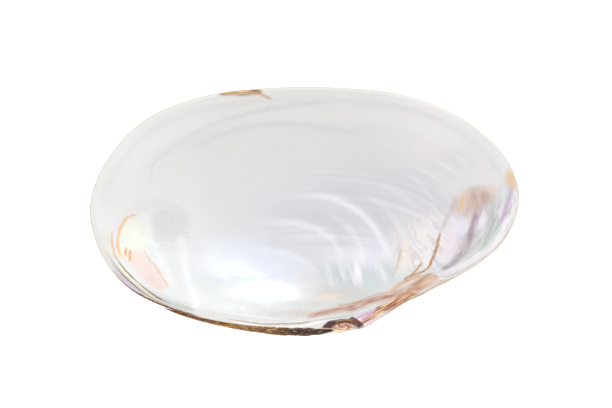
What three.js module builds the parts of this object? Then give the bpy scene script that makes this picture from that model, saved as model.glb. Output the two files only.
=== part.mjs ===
// One valve of a freshwater mussel, lying on its back with the hollow up, and the strip of dried
// ligament that is left on its hinge. Millimetres, +Z up, the hinge towards -Y, the front end towards +X.
//
// The valve is worked out in a frame of its own: the plane of its rim is z = 0, x runs along the hinge to the
// front end, y runs from the beak to the free edge, and the hollow is open towards +z. It is then laid down.

import * as THREE from "three";
import { mergeVertices } from "three/addons/utils/BufferGeometryUtils.js";

// The rim seen from inside, in millimetres from the beak, from the hinge round by the front end.
const RIM_POINTS = [
  [0, -0.8], [7, -0.7], [14, 3.2], [22.4, 8.9], [32.7, 14.8], [46.9, 22.5], [58, 33.2], [63.4, 49], [60, 63],
  [51.5, 74], [38, 84], [20, 90.3], [-2, 92.7], [-26, 92.4], [-49, 88.9], [-69.5, 79.3], [-82, 63.5],
  [-87.2, 46], [-83.5, 29.5], [-73.5, 15.2], [-59, 7], [-40, 1.8], [-20, -0.5],
];
const MIDDLE = [-10, 44]; // the point of the hollow that the inner face is spread from

// Growth: each growth line is a smaller copy of the rim, turned about the hinge as it shrinks to the beak.
const COIL = 0.62; // turn in radians for each e-fold of size
const TIP = new THREE.Vector3(-4, 0.9, -3.5); // where the growth lines shrink to, just under the beak
const WORN_BEAK = 0.1; // size at which the beak is worn flat, as a share of the whole
const HINGE_BULGE = 2.5; // extra depth inside the hinge, where the back is steepest
const FREE_BULGE = 0.8; // the same along the free edge
const FREE_SIDE = 70; // y from which the bulge is that of the free edge
const BULGE_REACH = 6; // distance from the rim over which the extra depth comes in
const RINGS = [0.93, 0.86, 0.77, 0.67, 0.56, 0.45]; // pauses in growth, as shares of the whole
const RING_HEIGHT = 0.4; // height of the ridge at each pause
const RING_WIDTH = 0.022; // half its width, as a share of the whole
const RING_START = 6; // distance from the beak within which there are no ridges
const RING_FULL = 34; // distance from the beak beyond which they have their full height

// The wall.
const EDGE_THICKNESS = 0.9;
const EDGE_REACH = 1;
const BODY_THICKNESS = 2.3; // added to the edge's towards the middle
const BODY_REACH = 22;
const CAVITY_SLOPE = 1.5; // steepest fall of the inner face below the hinge plate, as a ratio
const CAVITY_ROUND = 3; // rounding where that fall meets the floor of the hollow

// The hinge plate, a flat shelf inside the rim, and the long tooth on its back part.
const PLATE_WIDTH = 2.6;
const PLATE_BACK = -80; // x where the plate begins, at the back end
const PLATE_FRONT = 32; // x where it ends, in front of the beak
const PLATE_FADE = 9; // length over which it fades out at either end
const HINGE_SIDE = 32; // y beyond which the rim has no plate
const HINGE_SIDE_FADE = 12;
const TOOTH_BACK = -76;
const TOOTH_FRONT = -53;
const TOOTH_FADE = 5;
const TOOTH_INSET = 2.7; // distance of its crest from the rim
const TOOTH_HEIGHT = 1.5;
const TOOTH_HALF_WIDTH = 0.75;

// Shallow scars where the two closing muscles were fixed: centre, half lengths and depth.
const BACK_SCAR = { x: -63, y: 42, along: 12, across: 10, depth: 0.5 };
const FRONT_SCAR = { x: 47, y: 41, along: 10.5, across: 16, depth: 0.7 };
const SCAR_EDGE = 0.35; // share of a scar over which its edge rises

// The band outside the line where the mantle was fixed lies a little lower.
const MANTLE_LINE = 10; // distance of that line from the rim
const MANTLE_STEP = 0.3;
const MANTLE_SOFTNESS = 2.5;
const MANTLE_BAND = [3, 6]; // distances from the rim over which the band begins
const MANTLE_SIDE = [20, 50]; // y over which it begins, away from the hinge

// How the shell lies: it tips until its lowest point is under its centre of mass.
const HINGE_LIFT = THREE.MathUtils.degToRad(13);
const FRONT_LIFT = THREE.MathUtils.degToRad(1.7);
const WORN_DEPTH = 0.8; // depth of the flat that is worn at the lowest point

// The ligament: a tapered strip outside the hinge, thickest just behind the beak.
const LIGAMENT_BACK = -60; // x of its thin end
const LIGAMENT_FRONT = -2; // x of its thick, torn end
const LIGAMENT_WIDTH = 2.7;
const LIGAMENT_DEPTH = 3.4;
const LIGAMENT_RISE = 0.4; // its top above the rim
const LIGAMENT_GAP = 0.35; // between it and the rim
const LIGAMENT_TAPER = 0.4; // its thickness towards the ends, as a share of the most
const LIGAMENT_PEAK = 2.4; // power that moves the thickest place towards the front
const LIGAMENT_BLUNT = 14; // how short its rounded ends are: one over their share of its length
const LIGAMENT_STEPS = 40;
const LIGAMENT_SIDES = 8;

// How finely the faces are laid out.
const ROUND = 100; // steps round the rim
const FINE_ROUND = 896; // steps round the rim where distances to it are measured
const NUDGE = 0.5; // step over which the slope of the outer face is taken
const HALVINGS = 30; // steps of the search for the growth line under a place
const INSETS = [0, 0.7, 1.4, 2.1, 2.7, 3.3, 4.2, 6, 8.5]; // inner rows near the rim, by distance from it
const INNER_ROWS = 11; // inner rows from there to the middle
const OUTER_SIZES = [
  1, 0.975, 0.95, 0.93, 0.91, 0.885, 0.86, 0.835, 0.805, 0.77, 0.735, 0.7, 0.67, 0.64,
  0.6, 0.56, 0.52, 0.485, 0.45, 0.415, 0.375, 0.34, 0.29, 0.24, 0.19, 0.14, WORN_BEAK,
];

const NACRE = { color: 0xdddcda, roughness: 0.3, metalness: 0 };
const HORN = { color: 0x4a2f1c, roughness: 0.75, metalness: 0 };

const smoothstep = THREE.MathUtils.smoothstep;

const rimCurve = new THREE.CatmullRomCurve3(
  RIM_POINTS.map(([x, y]) => new THREE.Vector3(x, y, 0)),
  true,
);
const fineRim = rimCurve.getSpacedPoints(FINE_ROUND);
const rim = rimCurve.getSpacedPoints(ROUND);

// Whether a place in the plane of the rim is within the rim.
function withinRim(x, y) {
  let within = false;
  for (let i = 0; i < FINE_ROUND; i++) {
    const a = fineRim[i];
    const b = fineRim[i + 1];
    if (a.y > y !== b.y > y && x < a.x + ((y - a.y) / (b.y - a.y)) * (b.x - a.x)) within = !within;
  }
  return within;
}

// Distance in the plane from a place inside the rim to the rim.
function rimDistance(x, y) {
  let least = Infinity;
  for (const p of fineRim) least = Math.min(least, (p.x - x) ** 2 + (p.y - y) ** 2);
  return Math.sqrt(least);
}

// Extra depth that rounds the back, more behind the hinge than along the free edge.
function bulge(x, y) {
  if (!withinRim(x, y)) return 0;
  const height = THREE.MathUtils.lerp(HINGE_BULGE, FREE_BULGE, smoothstep(y, 0, FREE_SIDE));
  return height * (1 - Math.exp(-rimDistance(x, y) / BULGE_REACH));
}

// Where a point of the rim lay when the shell was a given share of its size.
function grown(size, point) {
  const hingeTurn = new THREE.Euler(-COIL * Math.log(1 / size), 0, 0);
  return point.clone().sub(TIP).applyEuler(hingeTurn).multiplyScalar(size).add(TIP);
}

// The place of the rim that had come to lie over a place in the plane at a given size.
function rimPlace(size, x, y) {
  const turn = COIL * Math.log(1 / size);
  const across = ((y - TIP.y) / size + TIP.z * Math.sin(turn)) / Math.cos(turn);
  return new THREE.Vector3((x - TIP.x) / size + TIP.x, across + TIP.y, 0);
}

// Height of the plain outer face under a place in the plane, found by the growth line that passes there.
function outerHeight(x, y) {
  let small = 1.02 * Math.exp(-Math.PI / 2 / COIL); // just short of a quarter turn
  let large = 1;
  for (let i = 0; i < HALVINGS; i++) {
    const size = (small + large) / 2;
    const place = rimPlace(size, x, y);
    if (withinRim(place.x, place.y)) large = size;
    else small = size;
  }
  return grown(large, rimPlace(large, x, y)).z - bulge(x, y);
}

// A bump of height 1 at zero that falls to nothing at one unit either side.
const ridge = (offset) => (Math.abs(offset) < 1 ? 0.5 + 0.5 * Math.cos(Math.PI * offset) : 0);

function plainOuter(size, point) {
  const p = grown(size, point);
  p.z -= bulge(p.x, p.y);
  return p;
}

// A point of the outer face, with the ridges of the growth pauses raised on it.
function outerPoint(size, step) {
  const point = rim[step % ROUND];
  const p = plainOuter(size, point);
  const share = smoothstep(point.distanceTo(TIP), RING_START, RING_FULL);
  const height = share * RINGS.reduce((sum, ring) => sum + RING_HEIGHT * ridge((size - ring) / RING_WIDTH), 0);
  if (height === 0) return p;
  const onward = plainOuter(size, rim[(step + 1) % ROUND]).sub(p);
  const inward = plainOuter(size * 0.99, point).sub(p);
  return p.add(inward.cross(onward).normalize().multiplyScalar(height));
}

// How far within a stretch of x a place lies, fading at both ends: 1 inside, 0 outside.
const stretch = (x, from, to, fade) => smoothstep(x, from - fade, from) * (1 - smoothstep(x, to, to + fade));

function scarDepth(scar, x, y) {
  const reach = Math.hypot((x - scar.x) / scar.along, (y - scar.y) / scar.across);
  return scar.depth * (1 - smoothstep(reach, 1 - SCAR_EDGE, 1));
}

// Height of the inner face over a place that lies a given distance inside the rim.
function innerHeight(x, y, inset) {
  const under = outerHeight(x, y);
  const slope = Math.hypot(outerHeight(x + NUDGE, y) - under, outerHeight(x, y + NUDGE) - under) / NUDGE;
  const thickness =
    EDGE_THICKNESS * (1 - Math.exp(-inset / EDGE_REACH)) + BODY_THICKNESS * (1 - Math.exp(-inset / BODY_REACH));
  const floor = under + thickness * Math.hypot(1, slope);

  const onHingeSide = 1 - smoothstep(y, HINGE_SIDE - HINGE_SIDE_FADE, HINGE_SIDE);
  const plate = stretch(x, PLATE_BACK, PLATE_FRONT, PLATE_FADE) * onHingeSide;
  const wall = -Math.max(0, inset - PLATE_WIDTH * plate) * CAVITY_SLOPE;
  const higher = (floor + wall + Math.hypot(floor - wall, CAVITY_ROUND)) / 2;
  let height = Math.min(0, THREE.MathUtils.lerp(floor, higher, plate));

  const tooth = stretch(x, TOOTH_BACK, TOOTH_FRONT, TOOTH_FADE) * plate;
  height += TOOTH_HEIGHT * tooth * ridge((inset - TOOTH_INSET) / (2 * TOOTH_HALF_WIDTH));
  height -= scarDepth(BACK_SCAR, x, y) + scarDepth(FRONT_SCAR, x, y);

  const beyondLine = smoothstep(inset, MANTLE_LINE - MANTLE_SOFTNESS, MANTLE_LINE + MANTLE_SOFTNESS);
  const band = smoothstep(inset, ...MANTLE_BAND) * (1 - beyondLine) * smoothstep(y, ...MANTLE_SIDE);
  return height - MANTLE_STEP * band;
}

// A point of the inner face. Rows near the rim follow it, and the rest shrink towards the middle.
function innerPoint(row, step) {
  const i = step % ROUND;
  const onward = rim[(i + 1) % ROUND].clone().sub(rim[(i + ROUND - 1) % ROUND]).normalize();
  const inset = INSETS[Math.min(row, INSETS.length - 1)];
  const place = rim[i].clone().add(new THREE.Vector3(-onward.y, onward.x, 0).multiplyScalar(inset));
  const share = Math.max(0, row - INSETS.length + 1) / INNER_ROWS;
  place.lerp(new THREE.Vector3(...MIDDLE, 0), share);
  if (row > 0) place.z = innerHeight(place.x, place.y, rimDistance(place.x, place.y));
  return place;
}

// Turns a place of the rim's frame into the frame of the shell as it lies.
const laidDown = new THREE.Matrix4().makeRotationFromEuler(new THREE.Euler(-HINGE_LIFT, -FRONT_LIFT, 0));

// The closed skin: rows run from the middle of the inner face out to the rim and back under to the beak.
function valveGeometry() {
  const innerRows = INSETS.length - 1 + INNER_ROWS;
  const outerRows = OUTER_SIZES.length;
  const skin = new THREE.SphereGeometry(1, ROUND, innerRows + outerRows);
  const beakTip = new THREE.Vector3();
  for (let step = 0; step < ROUND; step++) beakTip.add(outerPoint(WORN_BEAK, step).divideScalar(ROUND));
  const position = skin.getAttribute("position");
  for (let k = 0; k < position.count; k++) {
    const row = Math.floor(k / (ROUND + 1));
    const step = k % (ROUND + 1);
    const size = OUTER_SIZES[row - innerRows];
    let p = beakTip;
    if (row <= innerRows) p = innerPoint(innerRows - row, step);
    else if (size) p = outerPoint(size, step);
    position.setXYZ(k, ...p);
  }
  skin.applyMatrix4(laidDown);
  return skin;
}

// The strip of ligament, swept along the hinge with a section that swells and tapers.
function ligamentGeometry() {
  const strip = new THREE.SphereGeometry(1, LIGAMENT_SIDES, LIGAMENT_STEPS);
  const hinge = fineRim.filter((p) => p.y < HINGE_SIDE && p.x >= LIGAMENT_BACK && p.x <= LIGAMENT_FRONT);
  hinge.sort((a, b) => a.x - b.x);
  const line = new THREE.CatmullRomCurve3(hinge);
  const position = strip.getAttribute("position");
  for (let k = 0; k < position.count; k++) {
    const along = Math.floor(k / (LIGAMENT_SIDES + 1)) / LIGAMENT_STEPS;
    const turn = ((k % (LIGAMENT_SIDES + 1)) / LIGAMENT_SIDES) * 2 * Math.PI;
    const middle = line.getPointAt(along);
    const onward = line.getTangentAt(along);
    const outward = new THREE.Vector3(onward.y, -onward.x, 0);
    const blunt = Math.sqrt(Math.min(1, LIGAMENT_BLUNT * along, LIGAMENT_BLUNT * (1 - along)));
    const fullness = Math.sin(Math.PI * Math.pow(along, LIGAMENT_PEAK));
    const swell = blunt * THREE.MathUtils.lerp(LIGAMENT_TAPER, 1, fullness);
    const width = LIGAMENT_WIDTH * swell;
    const depth = LIGAMENT_DEPTH * swell;
    const p = middle
      .addScaledVector(outward, LIGAMENT_GAP + (width / 2) * (1 - Math.cos(turn)))
      .add(new THREE.Vector3(0, 0, LIGAMENT_RISE - LIGAMENT_DEPTH / 2 - (depth / 2) * Math.sin(turn)));
    position.setXYZ(k, ...p);
  }
  strip.applyMatrix4(laidDown);
  return strip;
}

// Keeps only places, with shared corners merged, and gives the faces fresh normals.
function closed(geometry) {
  geometry.deleteAttribute("normal");
  geometry.deleteAttribute("uv");
  const merged = mergeVertices(geometry, 1e-4);
  merged.computeVertexNormals();
  return merged;
}

const valveSkin = closed(valveGeometry());
const ligamentSkin = closed(ligamentGeometry());

// The resting spot is worn flat, and the whole is set with that flat at z = 0, centred on the vertical axis.
valveSkin.computeBoundingBox();
const floorHeight = valveSkin.boundingBox.min.z + WORN_DEPTH;
const valvePosition = valveSkin.getAttribute("position");
for (let k = 0; k < valvePosition.count; k++) valvePosition.setZ(k, Math.max(valvePosition.getZ(k), floorHeight));

const bounds = new THREE.Box3().setFromBufferAttribute(valvePosition);
bounds.union(new THREE.Box3().setFromBufferAttribute(ligamentSkin.getAttribute("position")));
const centre = bounds.getCenter(new THREE.Vector3());
for (const skin of [valveSkin, ligamentSkin]) skin.translate(-centre.x, -centre.y, -floorHeight);

function namedMesh(name, geometry, look) {
  const mesh = new THREE.Mesh(geometry, new THREE.MeshStandardMaterial(look));
  mesh.name = name;
  return mesh;
}

const shell = new THREE.Group();
shell.add(namedMesh("valve", valveSkin, NACRE), namedMesh("ligament", ligamentSkin, HORN));

export default shell;
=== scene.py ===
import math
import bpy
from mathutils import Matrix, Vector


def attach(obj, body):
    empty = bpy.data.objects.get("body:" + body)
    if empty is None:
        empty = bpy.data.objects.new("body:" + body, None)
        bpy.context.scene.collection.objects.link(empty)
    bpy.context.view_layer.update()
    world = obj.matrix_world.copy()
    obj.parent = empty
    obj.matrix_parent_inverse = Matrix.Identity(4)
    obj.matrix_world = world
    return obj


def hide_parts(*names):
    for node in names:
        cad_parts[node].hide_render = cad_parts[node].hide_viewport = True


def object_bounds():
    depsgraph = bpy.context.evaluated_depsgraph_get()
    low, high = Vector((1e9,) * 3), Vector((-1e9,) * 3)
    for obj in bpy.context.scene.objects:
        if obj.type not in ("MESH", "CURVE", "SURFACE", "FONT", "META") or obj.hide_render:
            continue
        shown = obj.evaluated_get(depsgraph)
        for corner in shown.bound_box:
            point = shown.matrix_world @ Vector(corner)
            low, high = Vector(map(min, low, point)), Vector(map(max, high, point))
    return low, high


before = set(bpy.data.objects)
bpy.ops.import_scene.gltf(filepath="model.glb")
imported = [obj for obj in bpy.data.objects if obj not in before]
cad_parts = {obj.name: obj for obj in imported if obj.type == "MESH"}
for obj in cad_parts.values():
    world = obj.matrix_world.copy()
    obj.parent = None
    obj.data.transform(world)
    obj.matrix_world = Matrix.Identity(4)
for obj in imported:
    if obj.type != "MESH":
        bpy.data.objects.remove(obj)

# The looks of one valve of a freshwater mussel, lying on its back with the hollow up, and of the strip of
# dried ligament on its hinge. Shapes are worked out in millimetres in the frame of the rim: x runs along the
# hinge to the front end, y from the beak to the free edge, and the hollow is open towards +z.

from types import SimpleNamespace

import bpy
import numpy as np
from mathutils import Matrix, Vector, noise

cad_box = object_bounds()

MM = 0.001

# The rim and the growth of the shell, as in the solids
RIM_POINTS = [
    (0, -0.8), (7, -0.7), (14, 3.2), (22.4, 8.9), (32.7, 14.8), (46.9, 22.5), (58, 33.2), (63.4, 49),
    (60, 63), (51.5, 74), (38, 84), (20, 90.3), (-2, 92.7), (-26, 92.4), (-49, 88.9), (-69.5, 79.3),
    (-82, 63.5), (-87.2, 46), (-83.5, 29.5), (-73.5, 15.2), (-59, 7), (-40, 1.8), (-20, -0.5),
]
MIDDLE = np.array([-10.0, 44.0])
COIL = 0.62
TIP = np.array([-4.0, 0.9, -3.5])
WORN_BEAK = 0.1
HINGE_BULGE = 2.5
FREE_BULGE = 0.8
FREE_SIDE = 70
BULGE_REACH = 6
RINGS = (0.93, 0.86, 0.77, 0.67, 0.56, 0.45)
RING_HEIGHT = 0.4
RING_WIDTH = 0.022
RING_START = 6
RING_FULL = 34
WORN_SIZES = (0.22, 0.4)

# The wall, the hinge plate and its tooth
EDGE_THICKNESS = 0.9
EDGE_REACH = 1
BODY_THICKNESS = 2.3
BODY_REACH = 22
CAVITY_SLOPE = 1.5
CAVITY_ROUND = 3
LEAST_WALL = 0.35
PLATE_WIDTH = 2.6
PLATE_BACK = -80
PLATE_FRONT = 32
PLATE_FADE = 9
HINGE_SIDE = 32
HINGE_SIDE_FADE = 12
TOOTH_BACK = -76
TOOTH_FRONT = -53
TOOTH_FADE = 5
TOOTH_INSET = 2.7
TOOTH_HEIGHT = 1.5
TOOTH_REACH = 1.3
GROOVE_FRONT = -63
GROOVE_INSET = 1.35
GROOVE_DEPTH = 0.15
GROOVE_REACH = 0.6

# Scars of the closing muscles: centre, half lengths and depth
BACK_SCAR = (-63, 42, 12, 10, 0.5)
FRONT_SCAR = (47, 41, 10.5, 16, 0.7)
SCAR_EDGE = 0.35
MANTLE_LINE = 10
MANTLE_STEP = 0.3
MANTLE_SOFTNESS = 2.5
MANTLE_BAND = (3, 6)
MANTLE_SIDE = (20, 50)

# Finer relief that the solids leave out
BEAK_HOLLOW = (1.5, -1.0, 5.6, 3.0, 0.9)
NACRE_WAVE = 0.09
SCAR_GRAIN = 0.07
GROWTH_LINES = 0.12
BEAK_PITS = 0.35
RIM_UNEVEN = 0.12
MARK_SPREAD = 1.6

# How much light the gloss adds to every colour
GLOSS = 0.045

# How the shell lies
HINGE_LIFT = math.radians(13)
FRONT_LIFT = math.radians(1.7)
RIM_PLACE = Vector((11.9092, -43.0397, 31.4914)) * MM
LAID = Matrix.Rotation(-HINGE_LIFT, 3, "X") @ Matrix.Rotation(-FRONT_LIFT, 3, "Y")

# How finely the skins are laid out
AROUND = 520
FINE_AROUND = 896
HINGE_DETAIL = 1.6
NEAR_ROWS = np.concatenate([np.arange(0, 6, 0.2), np.arange(6, 9.1, 0.5)])
FAR_ROWS = 60
OUTER_ROWS = 85
ROW_CROWDING = 1.08
HALVINGS = 26
NUDGE = 0.5

# The ligament
LIGAMENT_BACK = -60
LIGAMENT_FRONT = -2
LIGAMENT_WIDTH = 2.7
LIGAMENT_DEPTH = 3.4
LIGAMENT_RISE = 0.4
LIGAMENT_OVERLAP = 0.8
LIGAMENT_TAPER = 0.52
LIGAMENT_PEAK = 2.4
LIGAMENT_BLUNT = 14
LIGAMENT_POINT = 4
LIGAMENT_SIDES = 28
LIGAMENT_STEPS = 360

# The ligament's fibres, crumbs and cracks: depth, fineness along it and across it, and seed
FIBRES = (0.18, 0.12, 2.2, 23)
CRUMBS = (0.09, 0.45, 1.3, 29)
CRACKS = (0.2, 0.22, 1.5, 31)
CRACK_WIDTH = 0.25

# Thin marks on the inner face: places along each, half width, colour, strength and rise
MARKS = {
    "back crescent": (
        [(-70.5, 44.9), (-74.1, 42.9), (-76.3, 38.8), (-77.3, 33.2), (-76.8, 30.1), (-75.4, 26)],
        0.8, (232, 186, 112), 0.9, 0.08),
    "crescent bloom": ([(-72, 45.5), (-76.5, 42), (-78.3, 36), (-78.4, 30)], 1.6, (226, 216, 234), 0.55, 0),
    "back line": ([(-79.4, 37), (-79, 32), (-78.1, 28), (-76.7, 24.7)], 0.4, (214, 172, 124), 0.8, 0),
    "back streak": ([(-74.4, 31), (-74.1, 26.8)], 0.55, (220, 158, 82), 0.9, 0),
    "second streak": ([(-72.9, 30.2), (-72.5, 24.8)], 0.6, (224, 166, 92), 0.9, 0),
    "peach edge": (
        [(-68.7, 31), (-65.6, 26.3), (-63.2, 23.3), (-61.1, 19.8), (-58.4, 15)],
        0.45, (216, 184, 158), 0.65, 0),
    "hinge line": (
        [
            (-40, 3.3), (-26.8, 1.2), (-19.5, 1.2), (-13.2, 1.5), (-8.5, 2.6), (-2.5, 4.9), (4, 7.2),
            (10.8, 7.9),
        ],
        0.35, (188, 148, 108), 0.85, 0.15),
    # painted highlight: a white line beside the hinge line, where light catches the ridge
    "hinge shine": (
        [(-38, 2.4), (-26, 0.3), (-15, 0.2), (-9, 1.2), (-3, 3.6), (4, 6)],
        0.45, (255, 255, 255), 0.8, 0),
    "hinge shade": ([(-5, 3.6), (-1, 4.6), (2.5, 5.8), (6, 6.2)], 0.6, (188, 203, 203), 0.7, 0),
    "front hook": ([(31, 25.8), (26, 24.3), (23.7, 23.6), (23.9, 20)], 0.75, (194, 142, 86), 0.95, 0.08),
    "front crescent": (
        [(36.4, 41), (35.2, 36.6), (34.5, 33.6), (33.4, 30.6), (32.2, 27.8), (30.1, 25.4), (27.7, 23.9)],
        0.7, (188, 134, 82), 0.95, 0.1),
    "crescent branch": (
        [(30, 30.2), (28, 27.5), (26.3, 25.4), (24.2, 22.8)], 0.6, (198, 150, 100), 0.9, 0.08),
    "patch edge": ([(44.8, 53.6), (43.5, 50), (42.4, 46.4)], 0.7, (234, 190, 142), 0.85, 0.05),
    "scar line": ([(42.4, 52.6), (40.5, 48.9), (39.3, 46.2), (36.4, 40.6)], 1, (206, 188, 184), 0.6, 0),
    "mantle line": (
        [(-66.4, 52), (-66.5, 62.8), (-59.3, 70.9), (-49.8, 77.6), (-37.9, 82.6), (-22, 86.2), (-1, 88.3)],
        1.1, (212, 214, 216), 0.5, 0.05),
    "second mantle line": (
        [(-54.4, 70.4), (-37.9, 78.3), (-19.9, 81), (11, 77.4)], 1.2, (212, 214, 216), 0.45, 0.04),
    "tan streak": ([(22.6, 37), (20.9, 30), (18.7, 24.6)], 0.55, (212, 186, 160), 0.65, 0),
    "chip branch": ([(-28.6, 90.4), (-24, 88.4)], 0.6, (206, 168, 118), 0.7, 0),
    "chip smear": ([(-33.8, 89.4), (-32.8, 86)], 1.1, (240, 230, 204), 0.55, 0),
}

# Brushed bands on the inner face: places along each, half widths at its two ends, how many stripes run along
# it, two colours, strength, how firm its edge is, and rise
BANDS = {
    "rim chip": (
        [(-43.6, 89.8), (-39, 90.3), (-35.4, 90.5), (-32, 90.8), (-26.8, 91.2)], (0.7, 1.6), 6,
        (124, 78, 36), (238, 194, 116), 0.95, 0, 0),
    "blue line": (
        [(-44, 22.6), (-36, 24.4), (-28, 26), (-20, 27)], (1.2, 1.8), 1,
        (206, 219, 242), (224, 232, 246), 0.75, 0, 0),
    "white margin": (
        [(60.2, 43), (57.4, 36.8), (53, 31.6), (46.4, 25.8), (39, 21.6)], (1, 1.6), 2,
        (242, 238, 237), (232, 227, 228), 0.85, 0, 0),
    "peach band": (
        [(-73, 30), (-69, 26), (-64.8, 21), (-59, 14.4)], (2.4, 4.4), 2,
        (240, 206, 182), (232, 214, 226), 0.55, 0, 0),
    "back fold": (
        [(-67.9, 46), (-67.3, 40.3), (-65.8, 36.1), (-63.7, 31.3), (-61.4, 26), (-57.6, 16.5)], (1.9, 1.6), 1,
        (238, 240, 239), (230, 232, 230), 0.5, 0, 0.06),
    "second fold": (
        [(-56.2, 40), (-54, 27), (-52.4, 19.2), (-50.7, 15.8), (-49.4, 11.8), (-48.2, 5.5)], (2, 1.5), 1,
        (250, 251, 251), (240, 242, 243), 0.4, 0, 0.05),
    "plate stain": (
        [(-13, 5.4), (-6, 9), (0, 12.4), (7, 13.8), (14, 14), (22, 13.4)], (1.5, 3.8), 4,
        (178, 114, 58), (218, 178, 170), 1, 0, 0.05),
    "fan": (
        [(4.6, 0.4), (9, 3.4), (15, 7), (20.8, 10.2), (27, 14)], (1.6, 3), 6,
        (142, 80, 24), (240, 204, 164), 1, 0.5, 0.12),
    "beak violet": (
        [(5, 1.6), (8.4, 4.2), (12.6, 7.2)], (1.3, 1), 3, (204, 176, 226), (238, 206, 222), 0.85, 0, 0),
    "front margin": (
        [(18.5, 10.8), (24, 14.8), (29, 17.8), (34, 20.8)], (3.2, 4.2), 2,
        (186, 142, 108), (216, 180, 154), 1, 0.4, 0),
    "golden band": (
        [(16, 16), (20, 18.8), (24, 21.2), (29.4, 23.4)], (1.4, 1.8), 3,
        (206, 152, 94), (234, 198, 160), 0.85, 0, 0),
    "mauve streak": (
        [(49.4, 47), (47.6, 41), (45.4, 35.2), (43, 30), (38.5, 25.8), (34.6, 24)], (1.5, 1.3), 1,
        (172, 154, 162), (196, 184, 192), 1, 0.1, -0.08),
    "grey streak": (
        [(54.6, 49), (53.8, 42), (52, 36), (49.4, 30.4)], (1.4, 1.4), 2,
        (180, 174, 178), (200, 208, 202), 0.9, 0, -0.06),
    "green streak": (
        [(56.4, 40.4), (54.4, 36.4), (51.4, 32.6), (47.6, 29.6)], (1, 1.2), 2,
        (184, 198, 182), (202, 210, 202), 0.75, 0, 0),
    "purple streak": (
        [(60.9, 53), (60.1, 49), (58.9, 45.1), (57.2, 41.1), (55.8, 38)], (0.8, 0.8), 1,
        (206, 150, 192), (192, 186, 210), 0.75, 0, 0),
    "pink streak": (
        [(41.6, 40), (39.6, 34), (36.6, 28.6)], (2, 2.2), 3, (238, 216, 224), (232, 226, 240), 0.8, 0, 0),
    "cream streak": (
        [(24.6, 39.6), (24, 32), (22.6, 25.6)], (1.3, 1.5), 4,
        (250, 243, 230), (234, 224, 217), 0.5, 0, 0.06),
    "beak arch": (
        [(-5.6, -2), (-4.2, -0.3), (-1.6, 1.8), (1.7, 2.8), (4.5, 2.3), (6.4, 1), (7.8, -0.8)], (2, 1.3), 2,
        (26, 10, 4), (98, 54, 20), 1, 0.65, 0.35),
    # painted glints: golden streaks over the dark brown beak arch, mixed with dark brown
    "arch glint": (
        [(-1.8, 1.3), (0, 2.3), (2.2, 2.6), (4.8, 1.9), (6.6, 0.4)], (0.6, 0.6), 2,
        (204, 144, 70), (90, 48, 18), 0.75, 0, 0),
}

# Nested folds of the nacre round the deep of the hollow: places along each, half width and strength
RIPPLES = dict(enumerate([
    ([(-36, 34), (-27, 36.4), (-18, 35.6), (-11, 32), (-7, 27), (-5, 22)], 1.8, 0.35),
    ([(-32, 45), (-22, 47), (-12, 46.2), (-5, 43.4), (-0.6, 39), (1.6, 33), (2, 27)], 2.1, 0.6),
    ([(-8, 52), (-2, 49.6), (3, 46), (6.4, 41.6), (8.4, 35), (9, 28)], 1.6, 0.35),
    ([(-16, 57), (-5, 56), (3, 53.5), (8.5, 49.9), (13, 45), (16, 39), (18, 32), (19, 26)], 1.9, 0.85),
    ([(5, 58), (12.6, 55), (18.4, 49.6), (21.6, 43.4), (23, 37), (23.4, 31)], 1.4, 0.4),
    ([(11, 61), (20, 57.6), (26.4, 52), (29.4, 46)], 1.9, 0.22),
    ([(22, 64), (29, 59.6), (33, 54), (35.4, 48.6)], 1.2, 0.3),
    ([(25.6, 66.4), (34, 61), (38.6, 55.6)], 1, 0.25),
    ([(31, 69), (39.6, 63), (44.6, 57.6)], 1.1, 0.25),
    ([(38, 70), (45, 64.6), (49, 60)], 1, 0.2),
]))
RIPPLE_RISE = 0.14
BRUSH_LENGTH = 6
TINTS = list(dict.fromkeys(mark[2] for mark in MARKS.values()))

# How far marks and ripples reach, in their half widths, before they are cut off
MARK_REACH = (3, 5)
RIPPLE_REACH = (6, 8)
BLANK = (9.0, 0.0, 0.0)
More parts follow.
